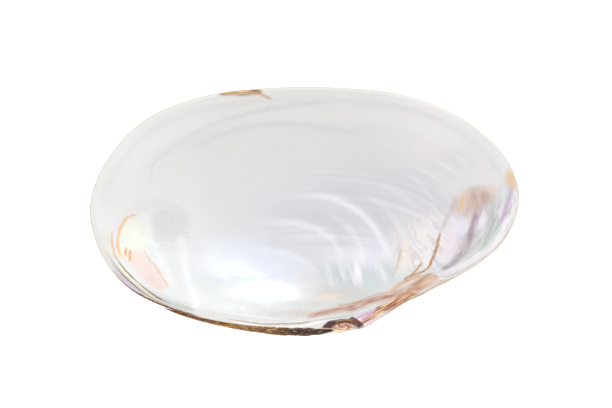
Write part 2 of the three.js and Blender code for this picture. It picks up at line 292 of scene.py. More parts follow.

# Soft patches on the inner face, three of them painted highlights or sheen: centre, half lengths, turn,
# colour, strength and softness, and the half length from which their edges wander
WAVERING = 2.5
PATCHES = {
    "middle": (-4, 46, 52, 27, 0, (219, 222, 228), 0.75, 0.9),
    "hollow": (-31, 31, 25, 11, 4, (229, 236, 248), 0.85, 0.9),
    # painted highlight: a near-white patch where the window light's reflection falls in the hollow
    "painted hollow highlight": (-27, 19, 15, 5, 8, (252, 253, 255), 0.8, 0.8),
    "left wing": (-50, 26, 12, 13, 20, (219, 220, 222), 0.8, 0.9),
    "grey shoulder": (26, 54, 27, 12, -34, (210, 212, 216), 0.75, 0.9),
    "lower grey": (-2, 19.5, 18, 5, 8, (210, 208, 203), 0.85, 0.8),
    # painted sheen: a paler patch under the highlight, on the wall that faces the window light
    "painted lower sheen": (-42, 10.5, 17, 4, -10, (230, 230, 231), 0.8, 0.8),
    "plate shade": (-13, 8.5, 17, 3.2, 4, (212, 202, 195), 0.75, 0.8),
    "tan field": (-74, 27.4, 2.8, 2.4, 0, (240, 216, 178), 0.6, 0.7),
    "back blush": (-80, 29.5, 3.2, 8, 12, (226, 216, 209), 0.8, 0.9),
    "peach field": (-66.6, 22, 7.4, 3.8, -42, (230, 210, 200), 0.75, 0.9),
    "peach shade": (-63.4, 17.4, 5, 2.8, -42, (214, 202, 199), 0.8, 0.8),
    "bright foot": (11, 35, 15, 6.4, 8, (244, 246, 252), 0.75, 0.9),
    "back field": (-72.5, 36, 5.5, 9, 8, (238, 239, 222), 0.7, 0.8),
    "back scar": (-60, 40.5, 7.6, 9.2, 0, (213, 214, 216), 0.8, 0.4),
    "back margin": (-76.5, 18.4, 2.4, 1.6, -45, (232, 206, 192), 0.7, 0.6),
    "teal field": (6, 27, 15, 5.5, -8, (204, 214, 222), 0.55, 0.7),
    "lilac band": (13.4, 37, 3.4, 8, -8, (214, 215, 234), 0.4, 0.8),
    "peach patch": (-2.4, 18.6, 5, 2.2, 12, (238, 220, 202), 0.6, 0.7),
    "front patch": (48.8, 50.6, 7, 4.6, 20, (192, 166, 152), 0.9, 0.7),
    "front shoulder": (50, 67, 15, 10, -50, (212, 214, 215), 0.7, 0.9),
    "mauve hollow": (44, 33, 7, 4, 30, (190, 180, 178), 0.6, 0.8),
    # painted highlight: a small near-white spot for a second reflection of the light
    "second painted highlight": (7, 29, 2.6, 5, -8, (252, 252, 255), 0.8, 0.8),
    "orange tint": (45.2, 51.4, 1.8, 3.6, -15, (230, 198, 162), 0.45, 0.8),
    "second orange tint": (54, 54.6, 3, 1.6, 0, (226, 196, 168), 0.5, 0.8),
    "pearl patch": (43, 41.4, 3.4, 4.6, -10, (238, 233, 244), 0.7, 0.6),
    "second pearl patch": (50.6, 42, 1.8, 3.6, -10, (238, 233, 244), 0.7, 0.6),
    "pink patch": (38.8, 34.6, 4, 5.4, -30, (236, 224, 228), 0.45, 0.8),
    "rim orange": (60.9, 55.6, 2.2, 4.6, 8, (220, 188, 148), 0.85, 0.6),
    "rim green": (59.8, 49.6, 2, 2, 0, (202, 224, 214), 0.7, 0.7),
    "violet patch": (6.7, 2.6, 2.2, 1.5, 30, (196, 176, 218), 0.75, 0.6),
    "beak pink": (10.8, 3.2, 2.8, 1.5, 35, (236, 204, 216), 0.75, 0.6),
    "pale blue patch": (8, 7, 3.2, 1.4, 10, (218, 228, 242), 0.6, 0.6),
}

SKIN_RANDOM = np.random.default_rng(7)


def smoothstep(x, low, high):
    share = np.clip((x - low) / (high - low), 0, 1)
    return share * share * (3 - 2 * share)


def bump(offset):
    """A bump of height 1 at zero that falls to nothing at one unit either side."""
    return np.where(np.abs(offset) < 1, 0.5 + 0.5 * np.cos(np.pi * np.clip(offset, -1, 1)), 0)


def stretch(x, start, end, fade):
    """1 from start to end, fading to 0 beyond either."""
    return smoothstep(x, start - fade, start) * (1 - smoothstep(x, end, end + fade))


def curve(points, closed=False, steps=40):
    """A smooth curve through points, as a dense run of places."""
    knots = np.array(points, float)
    ends = (knots[-1:], knots[:2]) if closed else (2 * knots[:1] - knots[1:2], 2 * knots[-1:] - knots[-2:-1])
    ring = np.vstack([ends[0], knots, ends[1]])
    share = np.linspace(0, 1, steps, endpoint=False)[:, None]
    run = []
    for before, start, end, after in zip(ring, ring[1:], ring[2:], ring[3:]):
        pairs = ((before, start), (start, end), (end, after))
        first, second, third = (np.linalg.norm(b - a) ** 0.5 for a, b in pairs)
        chord = end - start
        leave = ((start - before) / first - (end - before) / (first + second)) * second + chord
        arrive = ((after - end) / third - (after - start) / (second + third)) * second + chord
        square = 3 * chord - 2 * leave - arrive
        run.append(start + leave * share + square * share**2 + (leave + arrive - 2 * chord) * share**3)
    return np.vstack(run + [ring[-2:-1]])


def lengths(run):
    """Distance from the start of a run to each of its places."""
    return np.concatenate([[0], np.cumsum(np.linalg.norm(np.diff(run, axis=0), axis=1))])


def places_at(run, marks, where):
    return np.stack([np.interp(where, marks, run[:, k]) for k in range(run.shape[1])], -1)


rim_run = curve(RIM_POINTS, closed=True, steps=200)
rim_length = lengths(rim_run)
fine_rim = places_at(rim_run, rim_length, np.arange(FINE_AROUND) * rim_length[-1] / FINE_AROUND)
polar = fine_rim - MIDDLE
polar_angle = np.arctan2(polar[:, 1], polar[:, 0])
polar_order = np.argsort(polar_angle)
polar_reach = np.hypot(polar[:, 0], polar[:, 1])[polar_order]
polar_angle = polar_angle[polar_order]


def within_rim(x, y):
    across = x - MIDDLE[0]
    up = y - MIDDLE[1]
    reach = np.interp(np.arctan2(up, across), polar_angle, polar_reach, period=2 * np.pi)
    return np.hypot(across, up) < reach


def run_distance(run, x, y, closed=False):
    """Signed distance in the plane from places to a run, and the share of its length at the nearest point."""
    starts = run if closed else run[:-1]
    chords = (np.roll(run, -1, axis=0) - run)[: len(starts)]
    marks = lengths(np.vstack([run, run[:1]]) if closed else run)
    distance = np.empty(x.size)
    share = np.empty(x.size)
    places = np.column_stack([x.ravel(), y.ravel()])
    for first in range(0, len(places), 4000):
        part = places[first : first + 4000]
        gap = (part[:, :1] - starts[:, 0]) ** 2 + (part[:, 1:] - starts[:, 1]) ** 2
        nearest = gap.argmin(1)
        best = np.full(len(part), np.inf)
        side = np.ones(len(part))
        where = np.zeros(len(part))
        for shift in (-1, 0):
            k = (nearest + shift) % len(starts) if closed else np.clip(nearest + shift, 0, len(starts) - 1)
            away = part - starts[k]
            chord = chords[k]
            along = np.clip((away * chord).sum(1) / (chord**2).sum(1), 0, 1)
            miss = away - along[:, None] * chord
            far = np.hypot(miss[:, 0], miss[:, 1])
            closer = far < best
            turn = chord[:, 0] * away[:, 1] - chord[:, 1] * away[:, 0]
            best = np.where(closer, far, best)
            side = np.where(closer, np.where(turn < 0, -1, 1), side)
            where = np.where(closer, marks[k] + along * (marks[k + 1] - marks[k]), where)
        distance[first : first + 4000] = best * side
        share[first : first + 4000] = where / marks[-1]
    return distance.reshape(x.shape), share.reshape(x.shape)


def bulge(x, y):
    """Extra depth that rounds the back, more behind the hinge than along the free edge."""
    height = HINGE_BULGE + (FREE_BULGE - HINGE_BULGE) * smoothstep(y, 0, FREE_SIDE)
    inset = np.abs(run_distance(fine_rim, x, y, closed=True)[0])
    return np.where(within_rim(x, y), height * (1 - np.exp(-inset / BULGE_REACH)), 0)


def grown(size, places):
    """Where places of the rim lay when the shell was a given share of its size."""
    turn = COIL * np.log(1 / size)
    x = (places[..., 0] - TIP[0]) * size + TIP[0]
    across = places[..., 1] - TIP[1]
    y = (across * np.cos(turn) - TIP[2] * np.sin(turn)) * size + TIP[1]
    z = (-TIP[2] * np.cos(turn) - across * np.sin(turn)) * size + TIP[2]
    return np.stack([x, y, z - bulge(x, y)], -1)


def rim_place(size, x, y):
    turn = COIL * np.log(1 / size)
    across = ((y - TIP[1]) / size + TIP[2] * np.sin(turn)) / np.cos(turn)
    return np.stack([(x - TIP[0]) / size + TIP[0], across + TIP[1]], -1)


def under(x, y):
    """Height of the plain outer face under places, and the size of the shell when it grew there."""
    small = np.full(x.shape, 1.02 * math.exp(-math.pi / 2 / COIL))
    large = np.ones(x.shape)
    for _ in range(HALVINGS):
        size = (small + large) / 2
        place = rim_place(size, x, y)
        inside = within_rim(place[..., 0], place[..., 1])
        large = np.where(inside, size, large)
        small = np.where(inside, small, size)
    turn = COIL * np.log(1 / large)
    across = rim_place(large, x, y)[..., 1] - TIP[1]
    height = (-TIP[2] * np.cos(turn) - across * np.sin(turn)) * large + TIP[2]
    return height - bulge(x, y), large


def dimple(shape, x, y):
    centre_x, centre_y, along, across, depth = shape
    reach = np.hypot((x - centre_x) / along, (y - centre_y) / across)
    return depth * (1 - smoothstep(reach, 1 - SCAR_EDGE, 1))


def grain(places, scale, seed=0):
    """Soft random values at places, about 1 unit of noise for each 1 / scale."""
    shift = Vector((seed, seed * 1.7, -seed))
    return np.array([noise.noise(Vector(p) * scale + shift) for p in places])


def spread_rim():
    """Places round the rim, closer together along the hinge, and the way inwards from each."""
    crowding = 1 + HINGE_DETAIL * (1 - smoothstep(rim_run[:, 1], 20, 45))
    weight = np.concatenate([[0], np.cumsum(np.diff(rim_length) * crowding[1:])])
    where = np.interp(np.arange(AROUND) * weight[-1] / AROUND, weight, rim_length)
    rim = places_at(rim_run, rim_length, where)
    onward = np.roll(rim, -1, axis=0) - np.roll(rim, 1, axis=0)
    onward /= np.linalg.norm(onward, axis=1)[:, None]
    return rim, np.column_stack([-onward[:, 1], onward[:, 0]])


def mark_field(points, half_width, reach, x, y):
    """Distance across a mark in its half widths, how much of it is there, and how far along it lies."""
    run = curve(points)
    margin = reach[1] * np.max(half_width) + 1
    low = run.min(0) - margin
    high = run.max(0) + margin
    near = (x > low[0]) & (x < high[0]) & (y > low[1]) & (y < high[1])
    field = np.full(x.shape + (3,), BLANK)
    distance, share = run_distance(run, x[near], y[near])
    if isinstance(half_width, tuple):
        breadth = half_width[0] + (half_width[1] - half_width[0]) * share
    else:
        breadth = half_width * (0.45 + 0.55 * np.sin(np.pi * share) ** 0.6)
    offset = np.clip(distance / breadth, -BLANK[0], BLANK[0])
    there = stretch(share, 0.1, 0.9, 0.1) * (1 - smoothstep(np.abs(offset), *reach))
    field[near] = np.column_stack([offset, there, share])
    return field


def layered(fields, reach):
    """Puts fields that lie clear of one another on shared layers, so that few layers hold them all."""
    layers = []
    for field in fields:
        near = np.abs(field[..., 0]) < reach[1]
        for layer in layers:
            if (layer[near][:, 0] == BLANK[0]).all():
                break
        else:
            layer = np.full(field.shape, BLANK)
            layers.append(layer)
        layer[near] = field[near]
    return layers


def inner_height(x, y, inset, marks):
    """Height of the inner face over places that lie a given distance inside the rim."""
    height, size = under(x, y)
    bottom = height
    slope = np.hypot(under(x + NUDGE, y)[0] - height, under(x, y + NUDGE)[0] - height) / NUDGE
    thickness = EDGE_THICKNESS * (1 - np.exp(-inset / EDGE_REACH))
    thickness += BODY_THICKNESS * (1 - np.exp(-inset / BODY_REACH))
    floor = height + thickness * np.hypot(1, slope)

    hinge_side = 1 - smoothstep(y, HINGE_SIDE - HINGE_SIDE_FADE, HINGE_SIDE)
    plate = stretch(x, PLATE_BACK, PLATE_FRONT, PLATE_FADE) * hinge_side
    wall = -np.maximum(0, inset - PLATE_WIDTH * plate) * CAVITY_SLOPE
    higher = (floor + wall + np.hypot(floor - wall, CAVITY_ROUND)) / 2
    plain = np.minimum(0, floor + (higher - floor) * plate)
    height = plain.copy()

    tooth = stretch(x, TOOTH_BACK, TOOTH_FRONT, TOOTH_FADE) * plate
    height += TOOTH_HEIGHT * tooth * bump((inset - TOOTH_INSET) / TOOTH_REACH)
    groove = stretch(x, TOOTH_BACK, GROOVE_FRONT, TOOTH_FADE) * plate
    height -= GROOVE_DEPTH * groove * bump((inset - GROOVE_INSET) / GROOVE_REACH)
    height -= dimple(BACK_SCAR, x, y) + dimple(FRONT_SCAR, x, y) + dimple(BEAK_HOLLOW, x, y)

    beyond = smoothstep(inset, MANTLE_LINE - MANTLE_SOFTNESS, MANTLE_LINE + MANTLE_SOFTNESS)
    height -= MANTLE_STEP * smoothstep(inset, *MANTLE_BAND) * (1 - beyond) * smoothstep(y, *MANTLE_SIDE)
    for name, field in marks.items():
        rise = RIPPLE_RISE * RIPPLES[name][2] if name in RIPPLES else (MARKS | BANDS)[name][-1]
        height += rise * field[..., 1] * bump(field[..., 0] / MARK_SPREAD)

    flat = np.column_stack([x.ravel(), y.ravel(), np.zeros(x.size)])
    waves = grain(flat, 0.09, 3) + 0.5 * grain(flat, 0.2, 5)
    rough = grain(flat, 1.1, 9) * (dimple(BACK_SCAR, x, y) / BACK_SCAR[4]).ravel()
    away = smoothstep(inset, 3, 12)
    height += NACRE_WAVE * away * waves.reshape(x.shape) + SCAR_GRAIN * rough.reshape(x.shape)
    least = np.minimum(plain, bottom + LEAST_WALL * thickness * np.hypot(1, slope))
    return np.maximum(height, least), size


def inner_face(rim, inward):
    """Rows of places from the middle of the inner face to the rim, their growth, and the marks on them."""
    near = rim + inward * NEAR_ROWS[:, None, None]
    far = near[-1] + (MIDDLE - near[-1]) * (np.arange(1, FAR_ROWS + 1) / FAR_ROWS)[:, None, None]
    plan = np.vstack([near, far])[::-1]
    x = plan[..., 0]
    y = plan[..., 1]
    inset = np.abs(run_distance(fine_rim, x, y, closed=True)[0])
    marks = {name: mark_field(*mark[:2], MARK_REACH, x, y) for name, mark in (MARKS | BANDS).items()}
    marks |= {name: mark_field(*mark[:2], RIPPLE_REACH, x, y) for name, mark in RIPPLES.items()}
    height, size = inner_height(x, y, inset, marks)
    height[-1] = 0
    inset[-1] = 0
    return np.dstack([x, y, height]), np.dstack([size, inset, np.zeros(x.shape)]), marks


def painted_fields(marks):
    """What the nacre reads at each place: the bands, and the layers of thin marks and of ripples."""
    for name, (_, _, tint, strength, _) in MARKS.items():
        marks[name][..., 1] *= strength
        marks[name][..., 2] = (TINTS.index(tint) + 0.5) / len(TINTS)
    for name, (_, _, strength) in RIPPLES.items():
        marks[name][..., 1] = strength * (1 - smoothstep(np.abs(marks[name][..., 0]), *RIPPLE_REACH))
    thin = layered([marks[name] for name in MARKS], MARK_REACH)
    folds = layered([marks[name] for name in RIPPLES], RIPPLE_REACH)
    fields = {name: marks[name] for name in BANDS}
    fields |= {f"marks {k}": layer for k, layer in enumerate(thin)}
    return fields | {f"ripples {k}": layer for k, layer in enumerate(folds)}


def outer_face(rim):
    """Rows of places from the rim back under to the beak, and their growth."""
    share = np.arange(1, OUTER_ROWS + 1) / OUTER_ROWS
    size = (1 - (1 - WORN_BEAK) * share**ROW_CROWDING)[:, None] * np.ones(AROUND)
    outer = grown(size, np.broadcast_to(rim, (OUTER_ROWS, AROUND, 2)))
    onward = np.roll(outer, -1, axis=1) - np.roll(outer, 1, axis=1)
    facing = np.cross(np.gradient(outer, axis=0), onward)
    facing /= np.maximum(np.linalg.norm(facing, axis=2), 1e-9)[..., None]
    reach = np.linalg.norm(np.append(rim, np.zeros((AROUND, 1)), 1) - TIP, axis=1)
    raised = sum(bump((size - ring) / RING_WIDTH) for ring in RINGS) * RING_HEIGHT
    lines = np.interp(size, np.linspace(0, 1, 240), SKIN_RANDOM.normal(0, 1, 240))
    places = outer.reshape(-1, 3)
    ragged = (grain(places, 0.12, 11) + 0.6 * grain(places, 0.45, 13)).reshape(size.shape)
    pits = (grain(places, 0.35, 17) + grain(places, 0.9, 19)).reshape(size.shape)
    worn = 1 - smoothstep(size, *WORN_SIZES)
    raised = (raised + GROWTH_LINES * lines * (1 - worn)) * smoothstep(reach, RING_START, RING_FULL)
    raised += RIM_UNEVEN * ragged * smoothstep(1 - size, 0, 0.05) - BEAK_PITS * worn * np.abs(pits)
    return outer + facing * raised[..., None], np.dstack([size, np.zeros(size.shape), worn])


def laid_down(places):
    """Places of the rim's frame, in millimetres, as metres in the frame of the part."""
    turned = places.reshape(-1, 3) @ np.array(LAID).T
    return turned * MM + np.array(RIM_PLACE)


def add_skin(name, around, rows):
    """A closed skin from a sphere, and for each of its points the row and step that it is on."""
    bpy.ops.mesh.primitive_uv_sphere_add(segments=around, ring_count=rows, radius=1, location=(0, 0, 0))
    piece = bpy.context.object
    piece.name = name
    piece.data.name = name
    place = np.empty(len(piece.data.vertices) * 3)
    piece.data.vertices.foreach_get("co", place)
    x, y, z = place.reshape(-1, 3).T
    row = np.rint(np.arctan2(np.hypot(x, y), z) / np.pi * rows).astype(int)
    step = np.rint(np.arctan2(y, x) / (2 * np.pi) * around).astype(int) % around
    return piece, row, step


def set_places(piece, places):
    """Lays a piece down with its points at places, and none of them under the floor."""
    laid = laid_down(places)
    laid[:, 2] = np.maximum(laid[:, 2], cad_box[0][2])
    piece.data.vertices.foreach_set("co", laid.ravel())
    piece.data.update()
    bpy.ops.object.shade_smooth()


def add_attribute(piece, name, values):
    attribute = piece.data.attributes.new(name, "FLOAT_VECTOR", "POINT")
    attribute.data.foreach_set("vector", values.astype(np.float32).ravel())


def with_poles(rows):
    """Rows with one more at the end, all at the mean of the last, and the first one all at its mean."""
    first = np.broadcast_to(rows[:1].mean(1, keepdims=True), rows[:1].shape)
    last = np.broadcast_to(rows[-1:].mean(1, keepdims=True), rows[-1:].shape)
    return np.concatenate([first, rows[1:], last])


def make_valve():
    """One closed skin: from the middle of the inner face to the rim, and back under to the beak."""
    rim, inward = spread_rim()
    inner, inner_growth, marks = inner_face(rim, inward)
    outer, outer_growth = outer_face(rim)
    fields = painted_fields(marks)
    valve, row, step = add_skin("valve_skin", AROUND, len(inner) + len(outer))
    set_places(valve, with_poles(np.concatenate([inner, outer]))[row, step])
    add_attribute(valve, "growth", with_poles(np.concatenate([inner_growth, outer_growth]))[row, step])
    blank = np.broadcast_to(BLANK, (OUTER_ROWS + 1, AROUND, 3))
    for name, field in fields.items():
        add_attribute(valve, name, np.concatenate([field, blank])[row, step])

    valve.data.materials.append(nacre([name for name in fields if name not in BANDS]))
    valve.data.materials.append(horny_skin())
    outside = np.empty(len(valve.data.polygons), dtype=np.int32)
    for k, face in enumerate(valve.data.polygons):
        outside[k] = max(row[corner] for corner in face.vertices) >= len(inner)
    valve.data.polygons.foreach_set("material_index", outside)
    return valve


def strand_grain(length, turn, fine_along, fine_across, seed):
    """Soft random values round a strip, drawn out along it."""
    places = np.column_stack([length * fine_along, np.cos(turn) * fine_across, np.sin(turn) * fine_across])
    return grain(places, 1, seed)


def make_ligament():
    """The dried ligament: a swept strip, cracked, with fibres along it and a blunt front end."""
    strip, row, step = add_skin("ligament_strip", LIGAMENT_SIDES, LIGAMENT_STEPS)
    x, y = rim_run.T
    hinge = rim_run[(y < HINGE_SIDE) & (x >= LIGAMENT_BACK) & (x <= LIGAMENT_FRONT)]
    hinge = hinge[np.argsort(hinge[:, 0])]
    marks = lengths(hinge)
    along = row / LIGAMENT_STEPS
    turn = step / LIGAMENT_SIDES * 2 * np.pi
    middle = places_at(hinge, marks, along * marks[-1])
    onward = places_at(np.gradient(hinge, axis=0), marks, along * marks[-1])
    onward /= np.linalg.norm(onward, axis=1)[:, None]
    outward = np.column_stack([onward[:, 1], -onward[:, 0]])
    blunt = np.sqrt(np.minimum(1, np.minimum(LIGAMENT_POINT * along, LIGAMENT_BLUNT * (1 - along))))
    fullness = np.sin(np.pi * along**LIGAMENT_PEAK)
    swell = blunt * (LIGAMENT_TAPER + (1 - LIGAMENT_TAPER) * fullness)
    width = LIGAMENT_WIDTH * swell
    depth = LIGAMENT_DEPTH * swell
    length = along * marks[-1]
    rough = sum(amount * strand_grain(length, turn, *fineness) for amount, *fineness in (FIBRES, CRUMBS))
    crack = np.maximum(0, CRACK_WIDTH - np.abs(strand_grain(length, turn, *CRACKS[1:]))) / CRACK_WIDTH
    rough -= CRACKS[0] * crack * fullness
    ragged = 1 + np.clip(rough, -0.3, 0.08) * (0.5 + 0.5 * fullness)
    square = np.sign(np.cos(turn)) * np.abs(np.cos(turn)) ** 0.6
    out = width / 2 * (1 - square * ragged) - LIGAMENT_OVERLAP * blunt
    rise = LIGAMENT_RISE - LIGAMENT_DEPTH / 2 + depth / 2 * np.sin(turn) * ragged
    plan = middle + outward * out[:, None]
    set_places(strip, np.column_stack([plan, rise]))
    strip.data.materials.append(dried_ligament())
    return strip


def paint(red, green, blue):
    """A colour given as 0 to 255 on screen, as the light it gives back."""
    values = [c / 255 for c in (red, green, blue)]
    return [c / 12.92 if c <= 0.04045 else ((c + 0.055) / 1.055) ** 2.4 for c in values] + [1]


def stain(red, green, blue):
    """The paint that shows as a colour once the gloss over it is added."""
    return [max(0, c - GLOSS) for c in paint(red, green, blue)[:3]] + [1]


class Field:
    """A value, colour or vector that varies over a surface."""

    def __init__(self, finish, socket):
        self.finish = finish
        self.socket = socket

    def node(self, kind, settings, sockets, output=0):
        return self.finish.node(kind, settings, sockets, output)

    def maths(self, operation, *values):
        return self.node("ShaderNodeMath", {"operation": operation}, dict(enumerate(values)))

    def __add__(self, other):
        return self.maths("ADD", self, other)

    def __sub__(self, other):
        return self.maths("SUBTRACT", self, other)

    def __rsub__(self, other):
        return self.maths("SUBTRACT", other, self)

    def __mul__(self, other):
        return self.maths("MULTIPLY", self, other)

    def __abs__(self):
        return self.maths("ABSOLUTE", self)

    __radd__ = __add__
    __rmul__ = __mul__

    def parts(self):
        split = self.node("ShaderNodeSeparateXYZ", {}, {0: self})
        return [Field(self.finish, socket) for socket in split.socket.node.outputs]

    def scaled(self, scale):
        return self.node("ShaderNodeVectorMath", {"operation": "MULTIPLY"}, {0: self, 1: scale})

    def distance(self, point):
        return self.node("ShaderNodeVectorMath", {"operation": "DISTANCE"}, {0: self, 1: point}, "Value")

    def moved_into(self, place, turn, scale):
        """A place as seen from a frame with its own place, turn and scale."""
        sockets = {"Vector": self, "Location": place, "Rotation": turn, "Scale": scale}
        return self.node("ShaderNodeMapping", {"vector_type": "TEXTURE"}, sockets)

    def noise(self, scale, detail=2, roughness=0.5):
        sockets = {"Vector": self, "Scale": scale, "Detail": detail, "Roughness": roughness}
        return self.node("ShaderNodeTexNoise", {}, sockets, "Fac")

    def fade(self, low, high, start=0, end=1):
        """Goes smoothly from start to end as the value goes from low to high."""
        sockets = {"Value": self, "From Min": low, "From Max": high, "To Min": start, "To Max": end}
        return self.node("ShaderNodeMapRange", {"interpolation_type": "SMOOTHSTEP"}, sockets)

    def between(self, begin, whole, fall, end):
        """1 from whole to fall, with soft edges out to begin and end."""
        return self.fade(begin, whole) * self.fade(fall, end, 1, 0)

    def ramp(self, stops, blend="LINEAR"):
        return self.node("ShaderNodeValToRGB", {"stops": (stops, blend)}, {0: self})

    def mixed(self, share, other):
        """This colour with a share of another one."""
        return self.finish.mixed(share, self, other)

    def relief(self, depth, strength):
        sockets = {"Height": self, "Distance": depth * MM, "Strength": strength}
        return self.node("ShaderNodeBump", {}, sockets)


class Finish:
    """A material that is built up from nodes."""

    def __init__(self, name):
        self.material = bpy.data.materials.new(name)
        self.material.use_nodes = True
        self.tree = self.material.node_tree
        self.tree.nodes.clear()

    def node(self, kind, settings, sockets, output=0):
        made = self.tree.nodes.new(kind)
        for key, value in settings.items():
            if key == "stops":
                self.set_stops(made.color_ramp, *value)
            else:
                setattr(made, key, value)
        for key, value in sockets.items():
            if isinstance(value, Field):
                self.tree.links.new(value.socket, made.inputs[key])
            else:
                made.inputs[key].default_value = value
        return Field(self, made.outputs[output])

    def set_stops(self, ramp, stops, blend):
        ramp.interpolation = blend
        while len(ramp.elements) < len(stops):
            ramp.elements.new(1)
        for element, (place, colour) in zip(ramp.elements, stops):
            element.position = place
            element.color = colour

    def attribute(self, name):
        """The three values that an attribute of the mesh holds."""
        return self.node("ShaderNodeAttribute", {"attribute_name": name}, {}, "Vector").parts()

    def rim_frame(self):
        """Places on the surface in millimetres in the frame of the rim."""
        coordinates = self.node("ShaderNodeTexCoord", {}, {}, "Object")
        return coordinates.moved_into(RIM_PLACE, LAID.to_euler(), [MM] * 3)

    def joined(self, x, y, z):
        return self.node("ShaderNodeCombineXYZ", {}, {0: x, 1: y, 2: z})

    def mixed(self, share, first, second):
        return self.node("ShaderNodeMix", {"data_type": "RGBA"}, {0: share, 6: first, 7: second}, 2)

    def surface(self, **sockets):
        names = {key.replace("_", " "): value for key, value in sockets.items()}
        shader = self.node("ShaderNodeBsdfPrincipled", {}, names)
        out = self.tree.nodes.new("ShaderNodeOutputMaterial")
        self.tree.links.new(shader.socket, out.inputs["Surface"])
        return self.material


PEARL = [
    (0.3, paint(214, 236, 226)), (0.43, paint(226, 230, 248)), (0.52, paint(236, 236, 236)),
    (0.6, paint(244, 228, 234)), (0.7, paint(248, 238, 220)),
]
FRONT_TINTS = [
    (0.3, stain(174, 160, 166)), (0.4, stain(206, 198, 204)), (0.47, stain(234, 232, 236)),
    (0.54, stain(190, 186, 188)), (0.6, stain(226, 216, 220)), (0.7, stain(190, 200, 192)),
]
PETAL_TINTS = [
    (0.34, stain(204, 198, 208)), (0.43, stain(238, 236, 241)), (0.5, stain(249, 246, 240)),
    (0.56, stain(224, 210, 210)), (0.62, stain(239, 240, 245)), (0.7, stain(202, 211, 208)),
]
FOLD_TINTS = [
    (0, paint(240, 206, 192)), (0.35, paint(240, 208, 220)), (0.6, paint(216, 214, 240)),
    (1, paint(216, 230, 238)),
]
WORN_TINTS = [
    (0.4, paint(120, 70, 30)), (0.46, paint(190, 132, 82)), (0.52, paint(232, 186, 162)),
    (0.62, paint(244, 220, 208)),
]

# Zones of the inner face: where each begins, is whole, starts to fall and ends, along x and along y
BRUSHED_ZONE = ((40, 44, 54, 58), (43, 46, 53, 56))
FOLDS_ZONE = ((-30, 0, 36, 50), (30, 42, 56, 72))
PETALS_ZONE = ((14, 24, 34, 44), (23, 30, 40, 52))
FOOT_ZONE = ((-12, -2, 16, 24), (20, 25, 29, 35))

# Dark and light streaks: from and to which value of the noise, strength and tint of each. On the folds they
# are painted shade and painted highlight.
PAINTED_FOLD_SHADE = (203, 205, 211)
PAINTED_FOLD_STREAKS = ((0.5, 0.64, 0.45, PAINTED_FOLD_SHADE), (0.36, 0.48, 0.4, (241, 242, 247)))
FOOT_STREAKS = ((0.45, 0.62, 0.6, (200, 208, 208)), (0.34, 0.48, 0.45, (248, 249, 252)))
# painted highlight along the ripples
PAINTED_RIPPLE_HIGHLIGHT = (246, 248, 253)
SCAR_CENTRE = (-60, 41, 0)
BEAK_TIP = (2, -1, -3)
ARCH_CENTRE = (1.4, -1.4, 0)
WANDER = 7


def inner_places(finish):
    """Places on the inner face, straight and wandering, the shell's size there and the inset from its rim."""
    place = finish.rim_frame()
    flat = place.scaled((1, 1, 0))
    size, inset, _ = finish.attribute("growth")
    drift = flat.noise(0.14, 3, 0.55) - 0.5
    up_drift = place.scaled((1, -1, 0)).noise(0.14, 3, 0.55) - 0.5
    wander = finish.joined(WANDER * drift, WANDER * up_drift, 0)
    ragged = finish.node("ShaderNodeVectorMath", {"operation": "ADD"}, {0: flat, 1: wander})
    x, y, _ = flat.parts()
    return SimpleNamespace(flat=flat, ragged=ragged, x=x, y=y, size=size, inset=inset, drift=drift)


def zone(at, spans):
    """1 inside a zone of the inner face, with soft edges, and 0 outside it."""
    x_span, y_span = spans
    return at.x.between(*x_span) * at.y.fade(*y_span[:2]) * at.y.fade(*y_span[2:], 1, 0)


def streaked(colour, value, there, dark, light):
    """Dark streaks where a value is high, and light ones where it is low."""
    low, high, strength, tint = dark
    colour = colour.mixed(value.fade(low, high) * there * strength, stain(*tint))
    low, high, strength, tint = light
    return colour.mixed(value.fade(low, high, 1, 0) * there * strength, stain(*tint))


def pearl(finish, at):
    """Grey-white pearl with growth lines, and faint rainbow tints that grow towards the front."""
    colour = finish.mixed(at.ragged.noise(0.05, 2), stain(221, 224, 220), stain(227, 229, 227))
    front = at.x.fade(5, 50)
    lines = finish.joined(at.size * 60, at.inset * 0.02, 0).noise(1, 3, 0.6)
    lined = lines.fade(0.45, 0.75) * (0.1 + 0.25 * front)
    colour = colour.mixed(lined, stain(206, 208, 214))
    hue = at.ragged.noise(0.11, 3, 0.6)
    tinted = 0.07 + 0.28 * front * at.inset.fade(4, 26, 1, 0)
    return colour.mixed(tinted, hue.ramp(PEARL))


def patched(finish, at, colour):
    """Soft patches, some of them painted highlights and sheen, the larger ones with a wandering edge."""
    for x, y, along, across, turn, tint, strength, softness in PATCHES.values():
        spread = 1 + softness / 2
        around = at.ragged if along > WAVERING else at.flat
        scale = (along * spread, across * spread, 1)
        local = around.moved_into((x, y, 0), (0, 0, math.radians(turn)), scale)
        inner = finish.node("ShaderNodeTexGradient", {"gradient_type": "SPHERICAL"}, {0: local}, "Fac")
        share = inner.fade(0, 1.5 * softness / spread, 0, strength)
        colour = colour.mixed(share, stain(*tint))
    return colour


def swept(finish, at, colour):
    """Tints that sweep along the front rim, the soft patches, the brushed front patch, and painted light in
    the band inside the free edge that cancels the shade of the mantle step.
    """
    sweep = finish.joined(at.inset * 0.36, at.y * 0.05, 0).noise(1, 3, 0.55)
    front_zone = at.x.fade(24, 40) * at.y.fade(46, 56, 1, 0)
    colour = colour.mixed(front_zone * 0.9, sweep.ramp(FRONT_TINTS))
    colour = patched(finish, at, colour)
    brushed = zone(at, BRUSHED_ZONE) * sweep.fade(0.46, 0.6)
    colour = colour.mixed(brushed * 0.4, stain(228, 212, 204))
    # painted light: paler where the mantle step's relief darkens the band inside the free edge
    margin = at.inset.between(1, 3, 6, 12) * at.y.fade(50, 72)
    return colour.mixed(margin * 0.45, stain(240, 240, 238))


